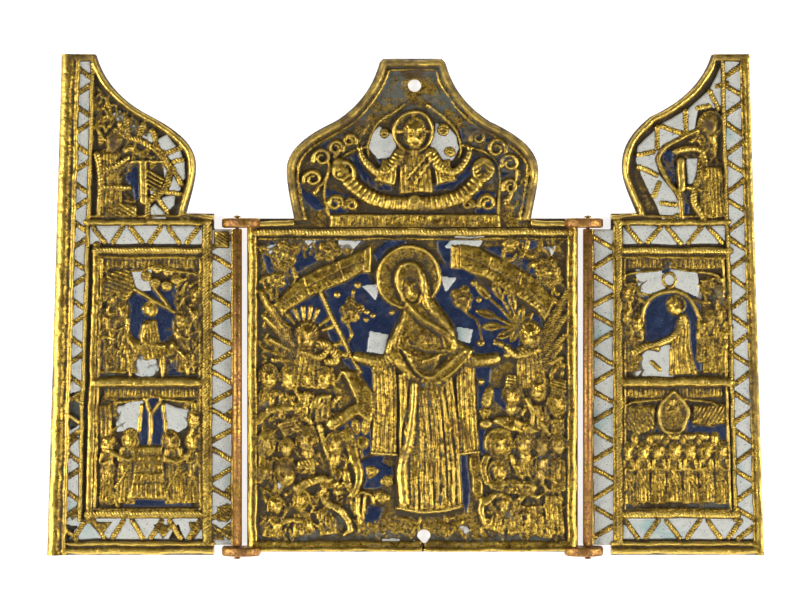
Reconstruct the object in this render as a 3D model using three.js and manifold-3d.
// A small folding icon of cast brass: a centre panel with a pointed crest, and two wings on pin hinges.
// It lies open on its back. X runs across the open wings, Y towards the crest, Z up through the relief.
// The origin is the middle of the centre panel's back face.
import * as THREE from "three";
import { mergeVertices } from "three/addons/utils/BufferGeometryUtils.js";
import Module from "manifold-3d";

const wasm = await Module();
wasm.setup();

// Driving dimensions of the centre panel, in millimetres. Heights are counted from its lower edge.
const PANEL_WIDTH = 92.6;
const BODY_HEIGHT = 93.4;
const CREST_HEIGHT = 44.8;
const CREST_FOOT = 33.2; // half width of the crest where it leaves the body
const CREST_BELLY = 35.3; // half its greatest width
const CREST_WAIST = 21.6; // half its width where the curve turns
const CREST_TIP = 9.0; // half its width at the top
const PANEL_GROUND = 2.6; // back face to the enamel
const PANEL_FRAME_TOP = 4.4;
const FRAME_WIDTH = 2.6;
const RIM_WIDTH = 3.1;
const NAIL_HOLE = 3.7;

// Hinges: an ear above and below, a barrel on the wing between them, and a pin through both.
const PIN_DIAMETER = 1;
const RUNNING_GAP = 0.3;
const BARREL_WALL = 0.5;
const HINGE_OUT = 2.7; // from the panel's side edge out to the hinge axis
const HINGE_HEIGHT = 4.9; // of the axis over the back face
const EAR_THICK = 2.6;
const EAR_OUT = 4.4;
const EAR_IN = 6.4;
const EAR_TOP = 7;
const EAR_FOOT = 0.5;
const EAR_DROP = 1.1; // how far the lower ears reach below the lower edge
const EAR_PLAY = 0.4;
const PIN_GRIP = 4; // length of a pin inside the barrel
const PIN_HEAD = 2;
const PIN_HEAD_THICK = 0.5;

// Wings. Their widths are counted outwards from the hinge axis.
const WING_GROUND = 2.3;
const WING_FRAME_TOP = 4.2;
const WING_RISE = 1.2; // how far the wings' crests pass the centre panel's
const WING_DROP = 1;
const WING_WIDTH_TOP = 45.3;
const WING_WIDTH_FOOT = 49.4;
const WING_INNER = -1;
const BEAD_WIDTH = 4.1;
const BEAD_TOP = 4.4;
const SHOULDER_RISE = 1.4;
const BORDER = 5; // width of a zigzag border
const BORDER_PITCH = 8.2;
const RIDGE = 1; // width of a raised line
const WIRE = 0.9; // width of a zigzag's line
const SCENE_TOP = 82.6; // upper edge of the upper scene
const SCENE_BAR = 47.5; // middle of the bar between the two scenes
const SCENE_FOOT = 12.3; // lower edge of the lower scene
const TOP_BAND = 88.8; // middle of the zigzag over the upper scene
const BOTTOM_BAND = 3; // lower edge of the lowest zigzag

const SINK = 0.3; // how far relief goes into the ground it stands on
const WELD = 1e-4;
const PANEL_TOP = BODY_HEIGHT + CREST_HEIGHT;
const HINGE_X = PANEL_WIDTH / 2 + HINGE_OUT;
const HOLE_RADIUS = PIN_DIAMETER / 2 + RUNNING_GAP;
const BARREL_RADIUS = HOLE_RADIUS + BARREL_WALL;

// The ogee edge of each wing: its distance from the hinge axis at the tip, waist, belly and foot.
const LEFT_OGEE = { tip: 39.9, waist: 24.2, belly: 11.9, foot: 14.7 };
const RIGHT_OGEE = { tip: 35.1, waist: 17.8, belly: 9.9, foot: 14.1 };

// A closed three.js geometry as a solid that can be joined and cut, with its faces turned outwards.
function solid(geometry) {
  geometry.deleteAttribute("normal");
  geometry.deleteAttribute("uv");
  const merged = mergeVertices(geometry, WELD);
  const corners = merged.index.array;
  const faces = [];
  for (let i = 0; i < corners.length; i += 3) {
    const [a, b, c] = corners.slice(i, i + 3);
    if (a !== b && b !== c && c !== a) faces.push([a, b, c]);
  }
  const build = (list) =>
    new wasm.Manifold(
      new wasm.Mesh({
        numProp: 3,
        vertProperties: merged.attributes.position.array,
        triVerts: new Uint32Array(list.flat()),
      }),
    );
  const made = build(faces);
  return made.volume() < 0 ? build(faces.map(([a, b, c]) => [a, c, b])) : made;
}

function join(solids) {
  return solids.reduce((whole, next) => whole.add(next));
}

// The triangles that close an outline, each running round in the outline's own sense.
function capOf(outline) {
  const flat = outline.map(([x, y]) => new THREE.Vector2(x, y));
  const sense = THREE.ShapeUtils.isClockWise(flat);
  const same = (face) => THREE.ShapeUtils.isClockWise(face.map((k) => flat[k])) === sense;
  const turned = ([a, b, c]) => (same([a, b, c]) ? [a, b, c] : [a, c, b]);
  return THREE.ShapeUtils.triangulateShape(flat, []).map(turned);
}

// A solid from rings of points [x, y, z] with equal counts, each joined to the next and closed by caps.
function loft(rings, loop = false) {
  const size = rings[0].length;
  const count = rings.length;
  const index = [];
  for (let i = 0; i < (loop ? count : count - 1); i++) {
    for (let k = 0; k < size; k++) {
      const a = i * size + k;
      const b = i * size + ((k + 1) % size);
      const c = ((i + 1) % count) * size + k;
      const d = ((i + 1) % count) * size + ((k + 1) % size);
      index.push(a, b, d, a, d, c);
    }
  }
  return { points: rings.flat(), index, size, count };
}

function closedSolid({ points, index }) {
  const geometry = new THREE.BufferGeometry();
  geometry.setAttribute("position", new THREE.Float32BufferAttribute(points.flat(), 3));
  geometry.setIndex(index);
  return solid(geometry);
}

// A bar of constant section along a flat path. The section's points are [offset to the left, height].
function sweep(path, section, loop = false) {
  const last = path.length - 1;
  const step = (a, b) => new THREE.Vector2(b[0] - a[0], b[1] - a[1]).normalize();
  const rings = path.map((here, i) => {
    const arrive = i > 0 || loop ? step(path[i > 0 ? i - 1 : last], here) : step(here, path[1]);
    const leave = i < last || loop ? step(here, path[i < last ? i + 1 : 0]) : arrive;
    const stretch = 1 + arrive.dot(leave);
    const side = [-(arrive.y + leave.y) / stretch, (arrive.x + leave.x) / stretch];
    return section.map(([offset, z]) => [here[0] + side[0] * offset, here[1] + side[1] * offset, z]);
  });
  const body = loft(rings, loop);
  if (!loop) {
    const end = (body.count - 1) * body.size;
    for (const [a, b, c] of capOf(section)) body.index.push(a, c, b, end + a, end + b, end + c);
  }
  return closedSolid(body);
}

// A raised line with a peaked back.
function ridge(path, base, top, width = RIDGE, loop = false) {
  return sweep(path, [[-width / 2, base - SINK], [width / 2, base - SINK], [0, top]], loop);
}

// A raised moulding with a rounded back between two offsets from its path.
function moulding(path, from, to, base, top, loop = false) {
  const shoulder = (to - from) * 0.25;
  const spring = base + (top - base) * 0.55;
  const section = [[from, base], [to, base], [to, spring], [to - shoulder, top], [from + shoulder, top]];
  return sweep(path, [...section, [from, spring]], loop);
}

// A flat-topped solid over an outline, whose top is drawn in towards its middle by the given share.
function mound(outline, base, top, share = 0.75) {
  const middle = [0, 1].map((k) => outline.reduce((sum, p) => sum + p[k], 0) / outline.length);
  const lower = outline.map(([x, y]) => [x, y, base - SINK]);
  const upper = outline.map((p) => [...p.map((v, k) => middle[k] + (v - middle[k]) * share), top]);
  const body = loft([lower, upper]);
  const lid = body.size;
  for (const [a, b, c] of capOf(outline)) body.index.push(a, c, b, lid + a, lid + b, lid + c);
  return closedSolid(body);
}

// An oval boss, such as a head, a berry or a leaf, turned by an angle in degrees.
// One of more than six sides has a rounded profile, and a smaller one is a flat-topped cone.
const DOME = [[0, 0], [1, 0], [0.8, 0.66], [0, 1]].map(([x, y]) => new THREE.Vector2(x, y));
const BOSS = [[0, 0], [1, 0], [0.62, 1], [0, 1]].map(([x, y]) => new THREE.Vector2(x, y));
function dome(x, y, halfWidth, halfLength, base, top, turn = 0, sides = 6) {
  const geometry = new THREE.LatheGeometry(sides > 6 ? DOME : BOSS, sides);
  geometry.rotateX(Math.PI / 2);
  geometry.scale(halfWidth, halfLength, top - base + SINK);
  geometry.rotateZ(THREE.MathUtils.degToRad(turn));
  geometry.translate(x, y, base - SINK);
  return solid(geometry);
}

// A round disc with a raised rim, for a halo.
function halo(x, y, radius, base, top, sides = 12) {
  const dish = top - 0.35;
  const profile = [[0, base - SINK], [radius, base - SINK], [radius, top], [radius * 0.88, top]];
  const points = [...profile, [radius * 0.8, dish], [0, dish]].map(([r, z]) => new THREE.Vector2(r, z));
  const geometry = new THREE.LatheGeometry(points, sides);
  geometry.rotateX(Math.PI / 2);
  geometry.translate(x, y, 0);
  return solid(geometry);
}

// Pleated cloth from a hem [x, y, width] up to a gathering line [x, y, width], two columns to a pleat.
function cloth(hem, gather, columns, base, top, turn = 0) {
  const depth = (top - base) * 0.55;
  const rad = THREE.MathUtils.degToRad(turn);
  const row = ([x, y, width], floor) =>
    Array.from({ length: columns + 1 }, (_, k) => {
      const across = (k / columns - 0.5) * width;
      const z = floor ? base - SINK : top - (k % 2 ? 0 : depth);
      return [x + across * Math.cos(rad), y + across * Math.sin(rad), z];
    });
  const ring = (line) => [...row(line, true), ...row(line, false).reverse()];
  const body = loft([ring(hem), ring(gather)]);
  const end = body.size;
  for (let k = 0; k < columns; k++) {
    const [a, b, c, d] = [k, k + 1, body.size - 1 - k, body.size - 2 - k];
    body.index.push(a, d, b, a, c, d, end + a, end + b, end + d, end + a, end + d, end + c);
  }
  return closedSolid(body);
}

// A robed figure: its foot, its height, how far its head leans sideways, and its width at the hem.
function figure([x, y, height, lean, width], base, top, columns = 3) {
  const head = Math.min(height * 0.13, 2.3);
  const shoulder = y + height - head * 2.1;
  const body = cloth([x, y, width], [x + lean * 0.8, shoulder, width * 0.72], columns, base, top - 0.3);
  return [body, dome(x + lean, y + height - head * 1.2, head, head * 1.2, base, top, 0, 5)];
}

// A zigzag along a straight band: its corners lie on one side and the other in turn.
function zigzag(from, to, width, pitch) {
  const run = new THREE.Vector2(to[0] - from[0], to[1] - from[1]);
  const count = Math.max(1, Math.round((2 * run.length()) / pitch));
  const side = new THREE.Vector2(-run.y, run.x).normalize().multiplyScalar(width / 2);
  return Array.from({ length: count + 1 }, (_, i) => {
    const swing = i % 2 ? 1 : -1;
    const share = i / count;
    return [from[0] + run.x * share + side.x * swing, from[1] + run.y * share + side.y * swing];
  });
}

// An arc as a list of points, between two angles in degrees.
function arc(x, y, halfWidth, halfHeight, from, to, steps) {
  return Array.from({ length: steps + 1 }, (_, i) => {
    const angle = THREE.MathUtils.degToRad(from + ((to - from) * i) / steps);
    return [x + halfWidth * Math.cos(angle), y + halfHeight * Math.sin(angle)];
  });
}

// A plate with an upright wall round its outline.
function plate(outline, bottom, top) {
  const shape = new THREE.Shape(outline.map(([x, y]) => new THREE.Vector2(x, y)));
  const geometry = new THREE.ExtrudeGeometry(shape, { depth: top - bottom, bevelEnabled: false });
  geometry.translate(0, 0, bottom);
  return solid(geometry);
}

// A round bar along Y, or the cutter for a hole of that size.
function roundBar(radius, from, to, sides = 8) {
  const geometry = new THREE.CylinderGeometry(radius, radius, to - from, sides);
  geometry.translate(0, (from + to) / 2, 0);
  return solid(geometry);
}

// One side of an ogee from its foot to its tip. The sizes are distances from the line x = 0.
function ogee({ foot, belly, waist, tip }, base, top) {
  const rise = top - base;
  const bellyY = base + rise * 0.3;
  const waistY = base + rise * 0.61;
  const curve = new THREE.CurvePath();
  const at = (x, y) => new THREE.Vector2(x, y);
  const swell = (belly - foot) * 0.6;
  const hang = (tip - waist) * 0.45;
  const bend = (waist - belly) * 0.45;
  curve.add(
    new THREE.CubicBezierCurve(
      at(foot, base),
      at(foot + swell * 0.7, base + rise * 0.1),
      at(belly, bellyY - rise * 0.1),
      at(belly, bellyY),
    ),
  );
  curve.add(
    new THREE.CubicBezierCurve(
      at(belly, bellyY),
      at(belly, bellyY + rise * 0.14),
      at(belly + bend, waistY - rise * 0.08),
      at(waist, waistY),
    ),
  );
  curve.add(
    new THREE.CubicBezierCurve(
      at(waist, waistY),
      at(waist + hang, waistY + rise * 0.08),
      at(tip - (tip - waist) * 0.15, top - rise * 0.19),
      at(tip, top),
    ),
  );
  return curve.curves.flatMap((c, i) => c.getPoints(4).slice(i ? 1 : 0)).map((p) => [p.x, p.y]);
}

function panelOutline() {
  const half = PANEL_WIDTH / 2;
  const sizes = { foot: CREST_FOOT, belly: CREST_BELLY, waist: CREST_WAIST, tip: CREST_TIP };
  const right = ogee(sizes, BODY_HEIGHT, PANEL_TOP);
  const left = right.map(([x, y]) => [-x, y]).reverse();
  return [[-half, 0], [half, 0], [half, BODY_HEIGHT], ...right, ...left, [-half, BODY_HEIGHT]];
}

// The four ears, bored for the pins: -1 or 1 for the side, and the ear's lower face.
const UPPER_EAR = BODY_HEIGHT - EAR_THICK;
const LOWER_EAR = -EAR_DROP;
function ear(side, bottom) {
  const shape = new THREE.Shape();
  const middle = (EAR_IN - EAR_OUT) / 2;
  const reach = (EAR_IN + EAR_OUT) / 2;
  const spring = EAR_TOP / 2;
  shape.moveTo(middle - reach, EAR_FOOT);
  shape.lineTo(middle + reach, EAR_FOOT);
  shape.lineTo(middle + reach, spring);
  shape.absellipse(middle, spring, reach, EAR_TOP - spring, 0, Math.PI, false);
  const geometry = new THREE.ExtrudeGeometry(shape, {
    depth: EAR_THICK,
    bevelEnabled: false,
    curveSegments: 6,
  });
  geometry.rotateX(Math.PI / 2);
  geometry.scale(-side, 1, 1);
  geometry.translate(0, bottom + EAR_THICK, 0);
  const bore = roundBar(HOLE_RADIUS, bottom - EAR_THICK, bottom + 2 * EAR_THICK).translate([
    0, 0, HINGE_HEIGHT,
  ]);
  return solid(geometry).subtract(bore).translate([side * HINGE_X, 0, 0]);
}

// The standing veiled figure in the middle of the centre panel, between two scrolls.
function mainFigure(base) {
  const skirt = [
    cloth([-7.6, 27.7, 5.6], [-8.2, 51, 5.8], 6, base, base + 1.5),
    cloth([4.8, 12, 17.6], [3.6, 49, 12], 11, base, base + 1.9),
    cloth([16.2, 28, 5.2], [15.4, 53, 4.6], 4, base, base + 1.4),
  ];
  const sleeves = [
    cloth([-17, 56, 4.2], [-7, 53.6, 4.6], 3, base, base + 1.3, 100),
    cloth([27.2, 55.2, 3.4], [14.6, 54.4, 4.6], 3, base, base + 1.3, 86),
  ];
  const veil = [[-4.6, 78.2], [-3.4, 81.6], [0.4, 82.4], [3.4, 79.4], [6.2, 70.4], [11.2, 63.6]];
  const kite = [[-7.8, 56], [-6.2, 63], [-2.2, 66.4], [10.4, 66], [17.2, 57], [9.6, 50], [2.8, 46.8]];
  return [
    halo(-1.3, 77, 8.9, base, base + 1, 18),
    ...skirt,
    ...sleeves,
    mound([...veil, [4, 61], [-4.2, 64.6], [-3.2, 70]], base, base + 1.9, 0.8),
    mound(kite, base, base + 2.1, 0.72),
    ridge([[-5.2, 56.6], [2.9, 48.6], [14.6, 57.2]], base + 1.5, base + 2.4, 1.6),
    ridge([[-2.4, 57.4], [3.1, 53], [9.8, 57.8]], base + 1.5, base + 2.4, 1.4),
    ridge([[-3, 65.4], [2, 61.8], [9.4, 60.4]], base + 1.5, base + 2.4, 1.6),
    dome(-0.8, 74.6, 2.8, 3.7, base, base + 2.3, 14, 10),
    dome(-18, 56.4, 1.6, 1.3, base, base + 1.3),
    dome(28.4, 55.4, 1.6, 1.2, base, base + 1.2),
    ridge([[-25.3, 72.5], [-14.7, 51]], base, base + 0.9, 1.2),
  ];
}

// Scrolls, angels and branches round the veiled figure.
function upperField(base) {
  const top = base + 0.9;
  const leftScroll = arc(-11, 54, 27.5, 26.4, 90, 158, 6);
  const rightScroll = arc(9.5, 54, 30.5, 28.8, 86, 24, 6);
  const flowers = [[-35.1, 82.6], [-23.1, 85.6], [-16.1, 67.8], [24.5, 87.4], [37.1, 79]];
  const feathers = (x, y, side) =>
    [0, 1, 2].map((i) => {
      const turn = side * (50 - i * 9);
      return dome(x + side * i * 0.8, y - i * 4.4, 4.4, 1.7, base, top, turn);
    });
  const fronds = [100, 72, 44, 18, -8].map((turn) => {
    const rad = THREE.MathUtils.degToRad(turn);
    const [x, y] = [31 + 6 * Math.cos(rad), 64 + 7.4 * Math.sin(rad)];
    return dome(x, y, 1.5, 4.4, base, top, turn - 90, 5);
  });
  return [
    moulding(leftScroll, -3.6, 3.6, base - SINK, top),
    moulding(rightScroll, -3, 3, base - SINK, top),
    ...flowers.map(([x, y], i) => dome(x, y, 2.7, 2.1, base, top, 24 * i)),
    ...fronds,
    ...feathers(-40, 70, 1),
    ...feathers(39.4, 72, -1),
    ...figure([-31, 50, 14, 0.6, 8], base, base + 1.4),
    ...figure([34.6, 50.5, 14.4, -0.8, 8], base, base + 1.4),
  ];
}

// Groups of worshippers on both sides below, each as its foot, height, lean and hem width.
function worshippers(base) {
  const rows = [
    [-40.4, 34, 14.4, 0.4, 5.8],
    [-34.4, 33, 15, 0.3, 6],
    [-27.4, 33.4, 14.6, -0.4, 6.4],
    [-39.6, 16, 16.6, 0.5, 6.6],
    [-31.6, 19, 14.6, 0.7, 6.6],
    [-20.4, 18, 14.6, 0.4, 7],
    [-38.6, 3.4, 11.8, 0.8, 7.6],
    [-15.8, 5, 13, -0.6, 7],
    [24.4, 33.4, 15, 0.8, 5.6],
    [30.6, 34, 14.6, 0.4, 5.6],
    [36.2, 33, 14.2, -0.4, 5.8],
    [41.6, 32, 13.6, -0.2, 5],
    [24, 16.6, 18, -0.8, 6.4],
    [31.2, 17, 17, 0.2, 6.6],
    [37.4, 16.4, 16.6, -0.6, 6],
    [22.6, 4, 13.6, 0.6, 7.4],
    [31.4, 3.6, 14, -0.4, 8.4],
    [39.8, 3.6, 13.6, -0.8, 7.4],
  ];
  const plants = [[-14.4, 36.6], [-13.6, 32]];
  const seated = [
    dome(-27, 15.6, 2, 2.4, base, base + 1.3),
    ridge([[-27, 13], [-29, 7.4], [-24.6, 9.4], [-21.6, 4]], base, base + 1.2, 2.4),
    ridge([[-27.4, 12], [-23.4, 12.4], [-20.6, 9.6]], base, base + 1.1, 1.8),
  ];
  return [
    ...rows.flatMap((row) => figure(row, base, base + 1.4)),
    ...plants.map(([x, y]) => dome(x, y, 1.1, 1.5, base, base + 0.9, 30, 5)),
    ...seated,
    halo(24, 32.2, 3.6, base, base + 0.8, 10),
  ];
}

// The blessing half figure over a fluted crescent of cloud, in the crest.
function crestField(base) {
  const top = base + 1;
  const cloud = arc(0.2, 121, 25.5, 22.4, 208, 332, 9);
  const flutes = [216, 228, 240, 252, 288, 300, 312, 324].map((turn) => {
    const [inner, outer] = [22, 29].map((reach) => arc(0.2, 121, reach, reach * 0.86, turn, turn, 1)[0]);
    return ridge([inner, outer], base, top, 1.5);
  });
  const scrolls = [[26.4, 111.4], [27.4, 104.6], [21.6, 98.4]];
  const neck = [[-16.4, 121.4], [-8.6, 127], [-4.6, 134], [4.8, 134], [8.8, 127], [16.4, 121.4]];
  const strokes = [-18, -11, -4, 3, 10, 17].map((x) =>
    ridge([[x, 91.8], [x + 0.6, 93.9]], base + 1, base + 1.5, 0.8),
  );
  return [
    halo(0.1, 118.2, 5.7, base, base + 0.9, 14),
    cloth([0, 101.6, 22], [0, 113.6, 8.6], 8, base, base + 1.5),
    cloth([-10.4, 107, 4.4], [-5, 112.4, 4], 3, base, base + 1.7, 130),
    cloth([10.6, 107, 4.4], [5, 112.4, 4], 3, base, base + 1.7, 50),
    dome(0.1, 117.4, 2.4, 3.2, base, base + 2.1, 0, 9),
    dome(-11.6, 109, 1.4, 1.6, base, base + 1.6),
    dome(11.8, 109.4, 1.4, 1.6, base, base + 1.6),
    moulding(cloud, -1.1, 1.1, base - SINK, top),
    ...flutes,
    dome(0.4, 98.6, 2.1, 2.1, base, base + 1.6, 0, 10),
    ...scrolls.flatMap(([x, y]) =>
      [-1, 1].map((side) => {
        const curl = arc(side * x, y, 2.4, 2.2, 90 - side * 50, 90 + side * 190, 3);
        return ridge(curl, base, top, 1.4);
      }),
    ),
    mound([[-23.1, 91], [24.5, 91], [24.5, 94.6], [-23.1, 94.6]], base, base + 1, 0.98),
    ...strokes,
    ridge(neck, base, base + 0.7),
  ];
}

function nailHoles() {
  const tall = 3 * PANEL_FRAME_TOP;
  const round = arc(0, 0, NAIL_HOLE / 2, NAIL_HOLE / 2, 0, 337.5, 15);
  const drop = arc(0, 0, NAIL_HOLE / 2, NAIL_HOLE / 2, -20, 200, 11);
  return [
    plate(round, -tall, tall).translate([0.6, 130.8, 0]),
    plate([...drop, [0.2, -2.6]], -tall, tall).translate([3.2, 4.4, 0]),
  ];
}

function centrePanel() {
  const outline = panelOutline();
  const base = PANEL_GROUND;
  const half = PANEL_WIDTH / 2;
  const crest = outline.slice(3, -1);
  const bodyTop = [[-half, BODY_HEIGHT - FRAME_WIDTH], [half, BODY_HEIGHT - FRAME_WIDTH]];
  const body = [[-half, BODY_HEIGHT], [-half, 0], [half, 0], [half, BODY_HEIGHT]];
  const parts = [
    plate(outline, 0, base),
    moulding(crest, 0, RIM_WIDTH, 0, PANEL_FRAME_TOP),
    moulding(body, 0, FRAME_WIDTH * 0.45, 0, PANEL_FRAME_TOP),
    moulding(body, FRAME_WIDTH * 0.6, FRAME_WIDTH, 1, PANEL_FRAME_TOP - 0.5),
    moulding(bodyTop, 0, FRAME_WIDTH, base - SINK, PANEL_FRAME_TOP - 0.9),
    ...[-1, 1].flatMap((side) => [ear(side, UPPER_EAR), ear(side, LOWER_EAR)]),
    ...mainFigure(base),
    ...upperField(base),
    ...worshippers(base),
    ...crestField(base),
  ];
  return nailHoles().reduce((panel, hole) => panel.subtract(hole), join(parts));
}

// A wing's outline, hinge axis at x = 0 and its free edge towards +x.
const STRIP_TOP = UPPER_EAR - EAR_PLAY;
const STRIP_FOOT = LOWER_EAR + EAR_THICK + EAR_PLAY;
const NOTCH = EAR_IN + EAR_PLAY;
const WING_TOP = PANEL_TOP + WING_RISE;
const WING_SHOULDER = BODY_HEIGHT + SHOULDER_RISE;
function wingOutline(edge) {
  return [
    [WING_INNER, STRIP_FOOT],
    [NOTCH, STRIP_FOOT],
    [NOTCH, -WING_DROP],
    [WING_WIDTH_FOOT, -WING_DROP],
    [WING_WIDTH_TOP, WING_TOP],
    ...[...edge].reverse(),
    [NOTCH, WING_SHOULDER],
    [NOTCH, STRIP_TOP],
    [WING_INNER, STRIP_TOP],
  ];
}

// The free edge's distance from the hinge axis at a height.
function freeEdge(y) {
  const share = (y + WING_DROP) / (WING_TOP + WING_DROP);
  return WING_WIDTH_FOOT + (WING_WIDTH_TOP - WING_WIDTH_FOOT) * share;
}

// The borders that both wings share: a frame, zigzag bands, and plain bars between the scenes.
function wingBorders(edge, base, top) {
  const outer = (y, inset) => [freeEdge(y) - inset, y];
  const line = top - 0.4;
  const inner = NOTCH + 1;
  const field = BORDER + 2.6;
  const bar = (y) => [[inner, y], outer(y, field)];
  const wire = (from, to, width) => ridge(zigzag(from, to, width, BORDER_PITCH), base, line, WIRE);
  return [
    moulding(edge, -2.2, 0, 0, top),
    moulding([outer(-WING_DROP, 0), outer(WING_TOP, 0)], 0, 1.1, 0, top),
    moulding([[NOTCH, -WING_DROP], outer(-WING_DROP, 0)], 0, 1.6, 0, top - 0.6),
    ridge([outer(0.8, 1.9), outer(WING_TOP, 1.9)], base, line),
    ridge([outer(0.8, field), outer(WING_TOP, field)], base, line),
    wire(outer(4.6, 4.7), outer(WING_TOP - 2, 4.7), BORDER - 1.6),
    ridge([[inner, BOTTOM_BAND], [inner, STRIP_TOP]], base, line, 1.4),
    wire([3.6, STRIP_FOOT + 1], [3.6, STRIP_TOP - 1], BORDER - 1.4),
    ridge(bar(BOTTOM_BAND), base, line, 1.6),
    ridge(bar(SCENE_FOOT - 1.6), base, line, 2),
    wire([inner + 1.6, 6.4], outer(6.4, field + 1.6), BORDER - 1.9),
    moulding(bar(SCENE_BAR), -1.4, 1.4, base - SINK, line),
    moulding(bar(SCENE_TOP + 1), -1, 1, base - SINK, line),
    ridge(bar(SCENE_TOP + 3.4), base, line, 1.2),
    wire([inner + 4, TOP_BAND], outer(TOP_BAND, field + 1.6), 2.4),
    ridge(bar(SCENE_TOP + 9), base, line, 1.2),
  ];
}

// The rod along the hinge edge that the pins turn in.
function barrel() {
  const tall = STRIP_TOP - STRIP_FOOT;
  const rod = roundBar(BARREL_RADIUS, STRIP_FOOT, STRIP_TOP);
  const lower = roundBar(HOLE_RADIUS, STRIP_FOOT - tall, STRIP_FOOT + PIN_GRIP + RUNNING_GAP);
  const upper = roundBar(HOLE_RADIUS, STRIP_TOP - PIN_GRIP - RUNNING_GAP, STRIP_TOP + tall);
  return { rod, bores: [lower, upper] };
}

// The figures of the left wing's half crest and two scenes.
function leftScenes(base, top) {
  const rider = [
    dome(24.6, 58, 6.4, 3.2, base, top - 0.4, 8, 9),
    ridge([[20.4, 50.4], [21.4, 57]], base, top - 0.5, 1.5),
    ridge([[29, 50.4], [28.5, 57.3]], base, top - 0.5, 1.5),
    ridge([[18.8, 59], [16.2, 63.6], [14.4, 61]], base, top - 0.4, 2),
    ...figure([25, 57, 13.4, -0.8, 6], base, top),
  ];
  const altar = [
    mound([[18.9, 14.6], [30.9, 14.6], [29, 21], [29.6, 29], [20.2, 29], [20.8, 21]], base, top - 0.4),
    ridge([[19.6, 44.4], [24.9, 37], [24.9, 30.5]], base, top - 0.4, 1.6),
    ridge([[30.2, 44.4], [24.9, 37]], base, top - 0.4, 1.6),
  ];
  const standing = [
    [35.4, 93.4, 26, -2, 8.6],
    [37.4, 50.4, 20, -0.6, 5.4],
    [13, 50, 19, 0.6, 5.6],
    [17, 50.4, 11, 0.6, 4.2],
    [34, 14, 19.6, -1.8, 6],
    [38.6, 14.4, 18, -0.6, 5],
    [15.4, 14, 19, 1.8, 6],
    [11.4, 14.4, 17.4, 0.4, 4.6],
  ];
  const tree = [[16.8, 79], [20, 80.4], [23.4, 79.6], [26.4, 78.4], [36, 78.6], [38, 74.6]];
  return [
    ...rider,
    ...altar,
    ...standing.flatMap((row) => figure(row, base, top)),
    ...tree.map(([x, y]) => dome(x, y, 1.7, 1.7, base, top - 0.6, 0, 7)),
    ridge([[21, 78], [22, 72]], base, top - 0.8),
    ridge([[26.5, 93], [26.5, 115]], base, top - 0.4, 1.8),
    ridge([[33, 118.2], [25, 114.4], [19, 108.4], [19.6, 101.4]], base, top - 0.6, 1.4),
    ridge([[11.4, 18], [11.4, 40], [16.4, 42]], base, top - 0.8, 1.2),
  ];
}

// The figures of the right wing's half crest and two scenes.
function rightScenes(base, top) {
  const standing = [
    [36.4, 92.4, 28, -2.4, 9],
    [11.4, 51, 19.6, 0.4, 5.4],
    [37, 51, 19, -0.4, 5.4],
    [24.2, 51, 17.4, 1.8, 8],
    [11.4, 13.4, 18, 0.3, 4.4],
    [15.8, 13.8, 17, 0.3, 4.9],
    [20.4, 13.3, 18, 0.2, 4.9],
    [25, 13.9, 17.2, 0, 5],
    [29.6, 13.2, 18, -0.2, 4.9],
    [34.2, 13.7, 17.2, -0.3, 4.9],
    [38.6, 13.1, 18, -0.4, 4.7],
  ];
  return [
    ...standing.flatMap((row) => figure(row, base, top)),
    ridge(arc(24.2, 62, 8.6, 12.4, 0, 180, 8), base, top - 0.5, 1.4),
    ridge(arc(24.2, 38.8, 4.4, 5.6, 0, 360, 12).slice(1), base, top - 0.4, 1.1, true),
    ...figure([24.2, 34.6, 8, 0, 3.4], base, top - 0.2),
    moulding([[18.6, 32.6], [32.4, 32.6]], -0.8, 0.8, base - SINK, top - 0.6),
    ridge([[28.6, 122.6], [23, 117], [19.8, 110.6], [23.7, 100], [26.6, 92.4]], base, top - 0.6, 1.4),
    ridge([[30.6, 93], [29, 112]], base, top - 0.6, 1.2),
    dome(24.2, 79.4, 2.4, 2.4, base, top - 0.4, 0, 8),
  ];
}

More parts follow.
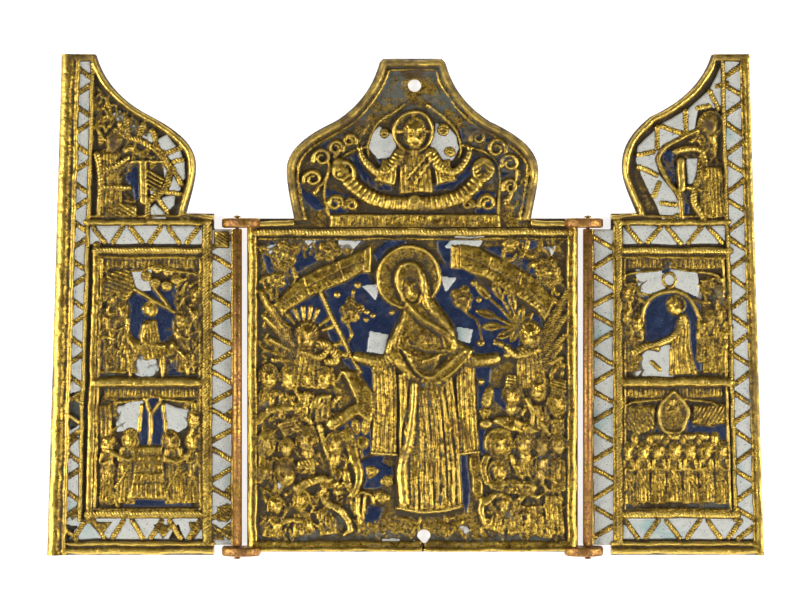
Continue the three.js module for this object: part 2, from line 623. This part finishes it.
// A wing with its hinge axis on x = 0 and its free edge towards +x.
function wing(sizes, scenes, beaded) {
  const base = WING_GROUND;
  const top = WING_FRAME_TOP;
  const edge = ogee(sizes, WING_SHOULDER, WING_TOP);
  const outline = wingOutline(edge);
  const { rod, bores } = barrel();
  const parts = [
    plate(outline, 0, base),
    join(wingBorders(edge, base, top)).intersect(plate(outline, 0, 2 * top)),
    ...scenes(base, top - 0.3),
    rod.translate([0, 0, HINGE_HEIGHT]),
    moulding([[0, STRIP_FOOT], [0, STRIP_TOP]], -0.9, -WING_INNER, 0, HINGE_HEIGHT - HOLE_RADIUS),
  ];
  if (beaded) {
    const foot = [WING_WIDTH_FOOT, -WING_DROP];
    const head = [WING_WIDTH_TOP, WING_TOP];
    parts.push(moulding([foot, head], -BEAD_WIDTH, RIDGE / 2, 0, BEAD_TOP));
  }
  const whole = join(parts);
  return bores.reduce((made, bore) => made.subtract(bore.translate([0, 0, HINGE_HEIGHT])), whole);
}

// A pin from its head outside an ear to its end inside the barrel; way is 1 for an upper pin.
function pin(way) {
  const face = way > 0 ? BODY_HEIGHT : LOWER_EAR;
  const end = way > 0 ? STRIP_TOP - PIN_GRIP : STRIP_FOOT + PIN_GRIP;
  const head = face + way * (RUNNING_GAP + PIN_HEAD_THICK);
  const [low, high] = [end, head].sort((a, b) => a - b);
  const headEnds = [head, head - way * PIN_HEAD_THICK].sort((a, b) => a - b);
  return roundBar(PIN_DIAMETER / 2, low, high, 8).add(roundBar(PIN_HEAD / 2, ...headEnds, 8));
}

const brass = new THREE.MeshStandardMaterial({ color: 0xb8923a, roughness: 0.38, metalness: 1 });
const wire = new THREE.MeshStandardMaterial({ color: 0x8f6a2c, roughness: 0.45, metalness: 1 });

function meshOf(name, made, material) {
  const { vertProperties, triVerts } = made.getMesh();
  const geometry = new THREE.BufferGeometry();
  geometry.setAttribute("position", new THREE.BufferAttribute(new Float32Array(vertProperties), 3));
  geometry.setIndex(new THREE.BufferAttribute(new Uint32Array(triVerts), 1));
  geometry.computeVertexNormals();
  const mesh = new THREE.Mesh(geometry, material);
  mesh.name = name;
  return mesh;
}

const icon = new THREE.Group();
icon.position.y = -PANEL_TOP / 2;
icon.add(meshOf("centre_panel", centrePanel(), brass));
for (const [name, side] of [["left", -1], ["right", 1]]) {
  const made = side < 0 ? wing(LEFT_OGEE, leftScenes, true) : wing(RIGHT_OGEE, rightScenes, false);
  const hinge = new THREE.Group();
  hinge.position.x = side * HINGE_X;
  hinge.add(meshOf(`${name}_wing`, side < 0 ? made.mirror([1, 0, 0]) : made, brass));
  for (const [place, way] of [["upper", 1], ["lower", -1]]) {
    const wirePin = meshOf(`hinge_pin_${place}_${name}`, pin(way), wire);
    wirePin.position.z = HINGE_HEIGHT;
    hinge.add(wirePin);
  }
  icon.add(hinge);
}

export default icon;
